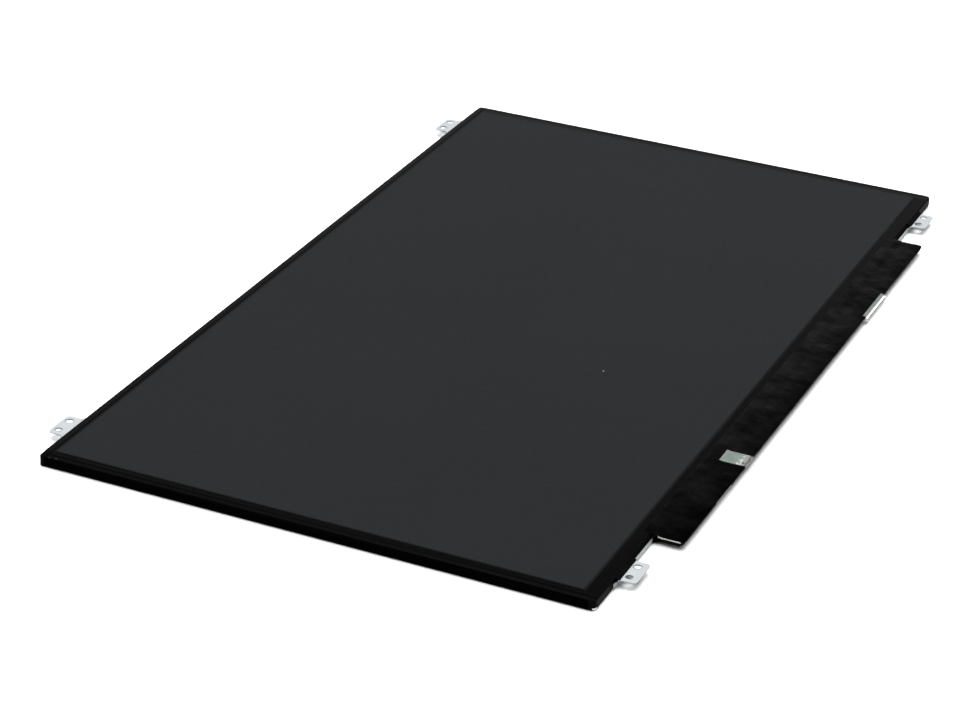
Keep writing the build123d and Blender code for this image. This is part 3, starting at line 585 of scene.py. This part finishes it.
def metal_foil(settings):
    """Grey metallic patch: duller rim and outer part, painted glints on its crumples, and a ragged line of
    painted shade along its fold with a dark tear spot.
    """
    surface, tree, shader = finish("Metal foil", Metallic=0.35, Specular_IOR_Level=0.2)
    x, y, z = axes(tree)
    mottle = use(tree, grain(), Scale=420.0, Detail=4.0, Low=0.88, High=1.12)["Ranged"]
    ragged = use(tree, grain(), Scale=900.0, Detail=3.0, Low=-0.35 * MM, High=0.35 * MM)["Ranged"]
    wandering = calc(tree, "ADD", y, ragged)
    outer_start = BOARD_LOW.y + 2.4 * MM
    outer_full = BOARD_LOW.y + 1.6 * MM
    outer = spread(tree, wandering, outer_start, outer_full, 0.0, 1.0)
    far_rim = use(tree, line(), Value=x, Place=FOIL_HIGH.x - settings.foil_trim, Width=0.9 * MM)["Mask"]
    inner_rim = use(tree, line(), Value=y, Place=FOIL_HIGH.y, Width=0.9 * MM)["Mask"]
    rim = calc(tree, "MULTIPLY", calc(tree, "MAXIMUM", far_rim, inner_rim), 0.6)
    duller = calc(tree, "MAXIMUM", outer, rim)
    grey = mixed(tree, duller, scaled(tree, settings.foil, mottle), tuple(settings.foil_outer))
    crumple_line = BOARD_LOW.y + 2.3 * MM
    crumpled = use(tree, line(), Value=wandering, Place=crumple_line, Width=1.2 * MM)["Mask"]
    # Painted highlight: light flecks in the crumpled zone stand for glints.
    glint_flecks = use(tree, grain(), Scale=1400.0, Detail=2.0, Low=-0.9, High=1.5)["Ranged"]
    pale = calc(tree, "MULTIPLY", crumpled, calc(tree, "MAXIMUM", glint_flecks, 0.0))
    glinted = mixed(tree, calc(tree, "MINIMUM", pale, 1.0), grey, tuple(settings.foil_glint))
    # Painted shade: a ragged dark line where the patch bends down over the board's edge, with a dark tear
    # spot.
    fold_line = BOARD_LOW.y + 0.15 * MM
    fold = use(tree, line(), Value=wandering, Place=fold_line, Width=0.40 * MM)["Mask"]
    on_top = calc(tree, "GREATER_THAN", z, BOARD_HIGH.z)
    tear_place = (FOIL_LOW.x + 1.5 * MM, BOARD_LOW.y + 1.3 * MM, BOARD_HIGH.z + 0.2 * MM)
    tear = use(tree, spot(), Place=tear_place, Radius=0.5 * MM)["Mask"]
    fold_shade_and_tear = calc(tree, "MAXIMUM", calc(tree, "MULTIPLY", fold, on_top), tear)
    feed(tree, shader["Base Color"], mixed(tree, fold_shade_and_tear, glinted, tuple(settings.foil_shade_and_tear)))
    fine = use(tree, grain(), Scale=1500.0, Detail=3.0, Low=0.40, High=0.55)
    feed(tree, shader["Roughness"], fine["Ranged"])
    feed(tree, shader["Normal"], bumped(tree, fine["Value"], 0.012 * MM))
    return surface


def coloured_plastic(name, base, roughness, scale, specular=0.4):
    """Plastic, film or ceramic with a mottled colour and a fine grain."""
    surface, tree, shader = finish(name, Specular_IOR_Level=specular)
    mottle = use(tree, grain(), Scale=scale, Detail=3.0, Low=0.88, High=1.08)
    feed(tree, shader["Base Color"], scaled(tree, base, mottle["Ranged"]))
    fine = use(tree, grain(), Scale=scale * 12.0, Low=roughness - 0.05, High=roughness + 0.05)
    feed(tree, shader["Roughness"], fine["Ranged"])
    feed(tree, shader["Normal"], bumped(tree, fine["Value"], 0.004 * MM))
    return surface


def board_laminate(settings):
    """Green mask, a plated strip at the signal connector with a painted highlight, cut edges with a black lap
    at one corner.
    """
    surface, tree, shader = finish("Board laminate", Specular_IOR_Level=0.3)
    x, y, _ = axes(tree)
    face = calc(tree, "GREATER_THAN", calc(tree, "ABSOLUTE", upward(tree)), 0.5)
    mottle = use(tree, grain(), Scale=300.0, Low=0.0, High=1.0)["Ranged"]
    green = mixed(tree, mottle, *GREEN_MASK)
    # Painted highlight: a lighter line along the plated strip's middle.
    ridge_highlight = use(tree, line(), Value=y, Place=BOARD_LOW.y + 0.5 * MM, Width=0.3 * MM)["Mask"]
    plating = mixed(tree, ridge_highlight, tuple(settings.plating), tuple(settings.plating_ridge_highlight))
    past_start = calc(tree, "GREATER_THAN", x, SHELL_LOW.x)
    before_end = calc(tree, "LESS_THAN", x, SHELL_HIGH.x)
    plated = calc(tree, "MULTIPLY", past_start, before_end)
    near_end = calc(tree, "LESS_THAN", x, BOARD_LOW.x + settings.end_lap)
    core = mixed(tree, near_end, CUT_EDGE, mixed(tree, mottle, *CUT_NEAR_END))
    outer = calc(tree, "LESS_THAN", y, BOARD_LOW.y + settings.end_lap)
    cut = mixed(tree, calc(tree, "MULTIPLY", near_end, outer), core, tuple(settings.black))
    feed(tree, shader["Base Color"], mixed(tree, face, cut, mixed(tree, plated, green, plating)))
    feed(tree, shader["Roughness"], spread(tree, face, 0.0, 1.0, 0.6, 0.45))
    return surface


# Meshes of the board's tapes


def rounded_run(points, reach, slack):
    """A function for the point at a distance along a run of straight legs, eased less towards its end."""
    legs = [(b - a).length for a, b in zip(points, points[1:])]
    total = sum(legs)

    def straight(distance):
        last = len(legs) - 1
        for index, (start, end, leg) in enumerate(zip(points, points[1:], legs)):
            if distance <= leg or index == last:
                return start.lerp(end, distance / leg)
            distance -= leg

    def eased(distance):
        here = min(slack, reach + 0.1 * max(0.0, total - distance))
        offsets = [here * step / 4 for step in range(-4, 5)]
        return sum((straight(distance + offset) for offset in offsets), Vector((0, 0))) / len(offsets)

    return eased, total


def tape_run(settings):
    """Upper side of the tape in Y and Z: off the glass, over the drivers, on to the board, round its edge."""
    gap = 0.1 * MM
    wrap_gap = 0.05 * MM
    slope = 2.05 * MM
    top = settings.thickness
    foot_z = BOARD_HIGH.z + wrap_gap + top
    outer_y = BOARD_LOW.y - wrap_gap - top
    points = [
        Vector((FRONT_TAPE_HIGH.y, GLASS_HIGH.z + top)),
        Vector((GLASS_LOW.y, GLASS_HIGH.z + top)),
        Vector((DRIVERS_LOW.y - gap, DRIVERS_HIGH.z + gap + top)),
        Vector((DRIVERS_LOW.y - slope, foot_z)),
        Vector((outer_y, foot_z)),
        Vector((outer_y, BOARD_LOW.z)),
    ]
    return rounded_run(points, 0.2 * MM, 0.7 * MM)


def crinkle(settings, x, across, board_start, board_end):
    """Height of the tape's wrinkles: wandering creases of uneven width, on soft swells."""
    rise_run = 3.0 * MM
    fall_run = 1.2 * MM
    rise = min(1.0, max(0.0, (across - board_start) / rise_run))
    fall = min(1.0, max(0.0, (board_end - across) / fall_run))
    wander = 2.6 * noise.noise(Vector((x / (9.0 * MM), across / (6.0 * MM), 4.2)))
    slant = x / MM + 0.5 * across / MM + wander
    crease = 1.0 - abs(noise.noise(Vector((slant / 6.5, across / (9.0 * MM), 3.1))))
    second = 1.0 - abs(noise.noise(Vector(((slant - 1.3 * across / MM) / 9.0, across / (6.0 * MM), 7.7))))
    swell = noise.noise(Vector((x / (7.0 * MM), across / (5.0 * MM), 1.3)))
    sharp = settings.crease * (0.6 * crease ** 7 + 0.4 * second ** 7)
    return rise * (0.25 + 0.75 * fall) * (sharp + settings.swell * max(0.0, swell))


def bend_on_run(mesh_in_edit, run, total, height):
    """Bends a flat sheet that lies in X and Y on to a run in Y and Z, and lifts it by a height."""
    step = 0.05 * MM
    for vert in mesh_in_edit.verts:
        across = vert.co.y + total / 2
        here = run(across)
        ahead = run(across + step) - run(across - step)
        out = Vector((ahead.y, -ahead.x)).normalized()
        lift = height(vert.co.x, across) + vert.co.z
        vert.co = Vector((vert.co.x, here.x + out.x * lift, here.y + out.y * lift))


def thicken(mesh_in_edit, thickness):
    """Gives a flat sheet its thickness below its upper side."""
    made = bmesh.ops.extrude_face_region(mesh_in_edit, geom=mesh_in_edit.faces[:])
    lower = [item for item in made["geom"] if isinstance(item, bmesh.types.BMVert)]
    bmesh.ops.translate(mesh_in_edit, vec=(0.0, 0.0, -thickness), verts=lower)


def cut_corner(mesh_in_edit, centre, radius, sign):
    """Rounds one outer corner of a flat grid by a fan of straight cuts."""
    for step in range(1, 6):
        angle = math.radians(15 * step)
        away = Vector((sign * math.sin(angle), math.cos(angle), 0.0))
        geometry = mesh_in_edit.verts[:] + mesh_in_edit.edges[:] + mesh_in_edit.faces[:]
        bmesh.ops.bisect_plane(
            mesh_in_edit, geom=geometry, plane_co=centre + away * radius, plane_no=away, clear_outer=True
        )


def cut_notch(mesh_in_edit, x_low, x_high, y_low):
    """Takes away the outer part of the tape between two places along it."""
    for place_of_cut, normal in (
        ((x_low, 0, 0), (1, 0, 0)),
        ((x_high, 0, 0), (1, 0, 0)),
        ((0, y_low, 0), (0, 1, 0)),
    ):
        geometry = mesh_in_edit.verts[:] + mesh_in_edit.edges[:] + mesh_in_edit.faces[:]
        bmesh.ops.bisect_plane(mesh_in_edit, geom=geometry, plane_co=place_of_cut, plane_no=normal)
    inside = []
    for face in mesh_in_edit.faces:
        middle = face.calc_center_median()
        if x_low < middle.x < x_high and middle.y > y_low:
            inside.append(face)
    bmesh.ops.delete(mesh_in_edit, geom=inside, context="FACES")


def flat_grid(columns, rows, size_x, size_y):
    """Flat grid round the origin."""
    made = bmesh.new()
    bmesh.ops.create_grid(made, x_segments=columns, y_segments=rows, size=0.5)
    bmesh.ops.scale(made, vec=(size_x, size_y, 1.0), verts=made.verts)
    return made


def board_tape_mesh(settings):
    """Crinkled tape over the board: rounded outer corners, a notch at the connector, a gap in its fold."""
    run, total = tape_run(settings)
    half = BOARD_HIGH.x + settings.overhang
    made = flat_grid(settings.columns, settings.rows, 2 * half, total)
    fold = BOARD_HIGH.z - BOARD_LOW.z
    for sign, radius in ((-1, settings.near_corner), (1, settings.far_corner)):
        centre = Vector((sign * (half - radius), total / 2 - fold - radius, 0.0))
        cut_corner(made, centre, radius, sign)
    cut_notch(made, SHELL_LOW.x, SHELL_HIGH.x, total / 2 - fold - settings.notch)
    gap_start = BOARD_LOW.x + settings.fold_gap_start
    cut_notch(made, gap_start, gap_start + settings.fold_gap_length, total / 2 - settings.fold_gap_depth)
    start = GLASS_HIGH.z - BOARD_HIGH.z
    thicken(made, settings.thickness)
    bend_on_run(made, run, total, lambda x, across: crinkle(settings, x, across, start, total - fold))
    bmesh.ops.recalc_face_normals(made, faces=made.faces)
    return made


def foil_mesh(settings):
    """Metallic patch that lies on the crinkled tape and folds down its outer edge."""
    run, total = tape_run(settings)
    step = 0.05 * MM
    start = next(index * step for index in range(400) if run(index * step).x < FOIL_HIGH.y)
    depth = total - start
    width = FOIL_HIGH.x - FOIL_LOW.x - settings.foil_trim
    middle = FOIL_LOW.x + width / 2
    made = flat_grid(48, 64, width, depth)
    fold = BOARD_HIGH.z - BOARD_LOW.z
    tape_start = GLASS_HIGH.z - BOARD_HIGH.z

    def height(x, across):
        under = crinkle(settings, x, across, tape_start, total - fold)
        outer = min(1.0, max(0.0, (across - total + fold + 3.0 * MM) / (2.0 * MM)))
        fine = noise.noise(Vector((x / (0.8 * MM), across / (0.9 * MM), 5.5)))
        return under + settings.foil_thickness + settings.foil_crinkle * outer * (0.5 + 0.5 * fine)

    bmesh.ops.translate(made, vec=(middle, start / 2, 0.0), verts=made.verts)
    thicken(made, settings.foil_thickness)
    bend_on_run(made, run, total, height)
    bmesh.ops.recalc_face_normals(made, faces=made.faces)
    return made


# Operators


class PieceOperator:
    """What every operator of this panel shares."""
    bl_options = {"REGISTER", "UNDO"}


class FinishScreen(PieceOperator, bpy.types.Operator):
    """Gives the front film its matte dark screen"""
    bl_idname = "screen_panel.finish_screen"
    bl_label = "Screen film"

    def execute(self, context):
        dress(screen_film(context.scene.panel_screen), "front_polariser")
        return {"FINISHED"}


class FinishBorder(PieceOperator, bpy.types.Operator):
    """Gives the border tapes and the moulded frame their blacks"""
    bl_idname = "screen_panel.finish_border"
    bl_label = "Border tapes and frame"

    def execute(self, context):
        settings = context.scene.panel_tape
        bright_tapes = ("right_edge_tape", "top_edge_tape", "cell_rim_tape")
        dress(border_tape("Border tape", settings, settings.sheen), *bright_tapes)
        dull_tapes = ("left_edge_tape", "bottom_edge_tape")
        dress(border_tape("Dull border tape", settings, settings.dull_sheen), *dull_tapes)
        dress(frame_plastic(settings), "mould_frame")
        return {"FINISHED"}


class FinishSheetMetal(PieceOperator, bpy.types.Operator):
    """Gives the rear cover, the brackets and the connector's shell their metal"""
    bl_idname = "screen_panel.finish_sheet_metal"
    bl_label = "Sheet metal"

    def execute(self, context):
        settings = context.scene.panel_metal
        rolled = (60.0, 2400.0, 2400.0)
        cover = taped_sheet("Coated cover sheet", settings.cover, 0.30, 0.46, rolled, 1.0, settings)
        dress(cover, "rear_cover")
        brackets = [name for name in frame["nodes"] if name.startswith("bracket_")]
        tumbled = (400.0, 900.0, 900.0)
        bright = taped_sheet("Bright bracket sheet", settings.bracket, 0.54, 0.66, tumbled, 0.25, settings)
        dress(bright, *brackets)
        drawn = (120.0, 2600.0, 2600.0)
        shell, _, _ = coated_sheet("Tinned shell sheet", settings.shell, 0.28, 0.42, drawn, 0.3)
        dress(shell, "signal_connector_shell")
        return {"FINISHED"}


class AddBoardTape(PieceOperator, bpy.types.Operator):
    """Lays the crinkled black tape over the control board"""
    bl_idname = "screen_panel.add_board_tape"
    bl_label = "Crinkled board tape"

    def execute(self, context):
        settings = context.scene.panel_board_tape
        mesh = board_tape_mesh(settings)
        add_piece("crinkled_board_tape", mesh, crinkled_tape(settings), "crinkled_tape", "board_front_tape")
        return {"FINISHED"}


class AddFoilPatch(PieceOperator, bpy.types.Operator):
    """Lays the grey metallic patch on the board's tape"""
    bl_idname = "screen_panel.add_foil_patch"
    bl_label = "Metallic patch"

    def execute(self, context):
        settings = context.scene.panel_board_tape
        mesh = foil_mesh(settings)
        add_piece("wrinkled_foil_patch", mesh, metal_foil(settings), "foil_tape", "board_foil_tape")
        return {"FINISHED"}


class FinishBoard(PieceOperator, bpy.types.Operator):
    """Gives the control board, its film and its components their finishes"""
    bl_idname = "screen_panel.finish_board"
    bl_label = "Control board and components"

    def execute(self, context):
        dress(board_laminate(context.scene.panel_board_tape), "control_board")
        rear_film = coloured_plastic("Black rear film", (0.0012, 0.0012, 0.0013), 0.35, 90.0, 0.02)
        dress(rear_film, "board_rear_film")
        amber = coloured_plastic("Amber link film", (0.36, 0.15, 0.02), 0.30, 400.0)
        dress(amber, "panel_flexes", "led_flex")
        chips = [name for name in frame["nodes"] if name.endswith(("_chip", "_chips"))]
        dress(coloured_plastic("Moulded chip black", (0.012, 0.012, 0.012), 0.55, 600.0), *chips)
        dress(coloured_plastic("Pressed powder grey", (0.05, 0.05, 0.052), 0.65, 900.0), "power_inductors")
        dress(coloured_plastic("Tan ceramic", (0.34, 0.20, 0.10), 0.50, 900.0), "ceramic_capacitors")
        dress(coloured_plastic("Glazed resistor black", (0.010, 0.010, 0.011), 0.25, 900.0), "chip_resistors")
        ivory = coloured_plastic("Ivory connector plastic", (0.22, 0.215, 0.19), 0.45, 500.0)
        dress(ivory, "signal_connector_housing")
        even_brushing = (300.0, 300.0, 300.0)
        gold, _, _ = coated_sheet("Gold contact plating", (0.78, 0.56, 0.24), 0.20, 0.34, even_brushing)
        dress(gold, "signal_connector_contacts")
        return {"FINISHED"}


class FinishCell(PieceOperator, bpy.types.Operator):
    """Gives the glasses, the films and the backlight their finishes"""
    bl_idname = "screen_panel.finish_cell"
    bl_label = "Display cell and backlight"

    def execute(self, context):
        glass = coloured_plastic("Dark coated glass", (0.016, 0.017, 0.017), 0.25, 60.0, 0.04)
        dress(glass, "array_glass", "colour_filter_glass")
        dress(coloured_plastic("Smoky polariser", (0.008, 0.008, 0.010), 0.20, 60.0), "rear_polariser")
        films = ("upper_prism_sheet", "lower_prism_sheet", "diffuser_sheet")
        dress(coloured_plastic("Pearly optical film", (0.70, 0.71, 0.72), 0.35, 200.0), *films)
        dress(coloured_plastic("Clear guide plate", (0.68, 0.74, 0.74), 0.08, 60.0), "light_guide_plate")
        dress(coloured_plastic("White reflector film", (0.80, 0.80, 0.79), 0.50, 200.0), "reflector_sheet")
        dress(coloured_plastic("Light package", (0.80, 0.76, 0.50), 0.30, 700.0), "led_packages")
        return {"FINISHED"}


class SetStage(PieceOperator, bpy.types.Operator):
    """Sets the floor, the light and the camera"""
    bl_idname = "screen_panel.set_stage"
    bl_label = "Stage"

    def execute(self, context):
        settings = context.scene.panel_stage
        context.scene.view_settings.view_transform = "Standard"
        set_floor(settings)
        set_backdrop(context.scene, settings)
        set_key_light(settings)
        set_camera(context.scene, settings)
        return {"FINISHED"}


# Stage


def set_floor(settings):
    """Plain pale floor, lit until it looks white, that keeps the panel's shadow."""
    made = bmesh.new()
    bmesh.ops.create_grid(made, x_segments=1, y_segments=1, size=settings.floor_size)
    mesh = bpy.data.meshes.new("floor")
    made.to_mesh(mesh)
    made.free()
    surface = bpy.data.materials.new("Pale floor")
    surface.use_nodes = True
    tree = surface.node_tree
    tree.nodes.clear()
    mottle = use(tree, grain(), Scale=6.0, Low=0.985, High=1.0)
    pale = scaled(tree, settings.floor, mottle["Ranged"])
    diffuse = add(tree, "ShaderNodeBsdfDiffuse", pale)
    add(tree, "ShaderNodeOutputMaterial", diffuse.outputs[0])
    mesh.materials.append(surface)
    floor = bpy.data.objects.new("floor", mesh)
    bpy.context.scene.collection.objects.link(floor)


def set_backdrop(scene, settings):
    """White light round the horizon that falls off above it, and a wide soft light overhead."""
    world = bpy.data.worlds.new("Studio backdrop")
    world.use_nodes = True
    tree = world.node_tree
    tree.nodes.clear()
    direction = add(tree, "ShaderNodeTexCoord").outputs["Generated"]
    height = add(tree, "ShaderNodeSeparateXYZ", direction).outputs[2]
    fall = (settings.horizon_top, settings.zenith_bottom)
    level = spread(tree, height, *fall, settings.horizon, settings.zenith)
    overhead = spread(tree, height, settings.overhead_bottom, settings.overhead_top, 0.0, settings.overhead)
    light = add(tree, "ShaderNodeBackground", (1.0, 1.0, 1.0), calc(tree, "ADD", level, overhead))
    add(tree, "ShaderNodeOutputWorld", light.outputs[0])
    scene.world = world


def set_key_light(settings):
    """Wide soft light from above the panel's far end."""
    lamp = bpy.data.lights.new("Key light", "SUN")
    lamp.angle = settings.key_spread
    lamp.energy = settings.key_strength
    light = bpy.data.objects.new("Key light", lamp)
    light.location = settings.key_place
    light.rotation_mode = "QUATERNION"
    light.rotation_quaternion = (-Vector(settings.key_place)).to_track_quat("-Z", "Y")
    bpy.context.scene.collection.objects.link(light)


def set_camera(scene, settings):
    """Camera at the photograph's place and angle."""
    view = bpy.data.cameras.new("Camera")
    view.lens = settings.lens
    view.sensor_width = 36.0
    view.clip_start = 0.01
    camera = bpy.data.objects.new("Camera", view)
    ahead = (Vector(settings.target) - Vector(settings.camera)).to_track_quat("-Z", "Y")
    turn = ahead.to_matrix().to_4x4() @ Matrix.Rotation(settings.roll, 4, "Z")
    camera.matrix_world = Matrix.Translation(Vector(settings.camera)) @ turn
    scene.collection.objects.link(camera)
    scene.camera = camera


class ScreenPanelSidebar(bpy.types.Panel):
    """Lists the panel's pieces in the sidebar"""
    bl_idname = "VIEW3D_PT_screen_panel"
    bl_label = "Screen panel"
    bl_space_type = "VIEW_3D"
    bl_region_type = "UI"
    bl_category = "Screen panel"

    def draw(self, context):
        for operator in OPERATORS:
            self.layout.operator(operator.bl_idname)
        for name in SETTINGS:
            group = getattr(context.scene, name)
            box = self.layout.box()
            for key in group.bl_rna.properties.keys():
                if key not in ("rna_type", "name"):
                    box.prop(group, key)


SETTINGS = {
    "panel_screen": ScreenSettings,
    "panel_tape": TapeSettings,
    "panel_board_tape": BoardTapeSettings,
    "panel_metal": MetalSettings,
    "panel_stage": StageSettings,
}
OPERATORS = (
    SetStage,
    FinishScreen,
    FinishBorder,
    FinishSheetMetal,
    AddBoardTape,
    AddFoilPatch,
    FinishBoard,
    FinishCell,
)


def register():
    """Makes the settings, the operators and the sidebar known."""
    for name, group in SETTINGS.items():
        bpy.utils.register_class(group)
        setattr(bpy.types.Scene, name, PointerProperty(type=group))
    for operator in OPERATORS:
        bpy.utils.register_class(operator)
    bpy.utils.register_class(ScreenPanelSidebar)


def unregister():
    """Takes them away again."""
    bpy.utils.unregister_class(ScreenPanelSidebar)
    for operator in reversed(OPERATORS):
        bpy.utils.unregister_class(operator)
    for name, group in SETTINGS.items():
        delattr(bpy.types.Scene, name)
        bpy.utils.unregister_class(group)


def main():
    """Builds every piece in order."""
    register()
    for operator in OPERATORS:
        module, name = operator.bl_idname.split(".")
        getattr(getattr(bpy.ops, module), name)()


if __name__ == "__main__":
    main()
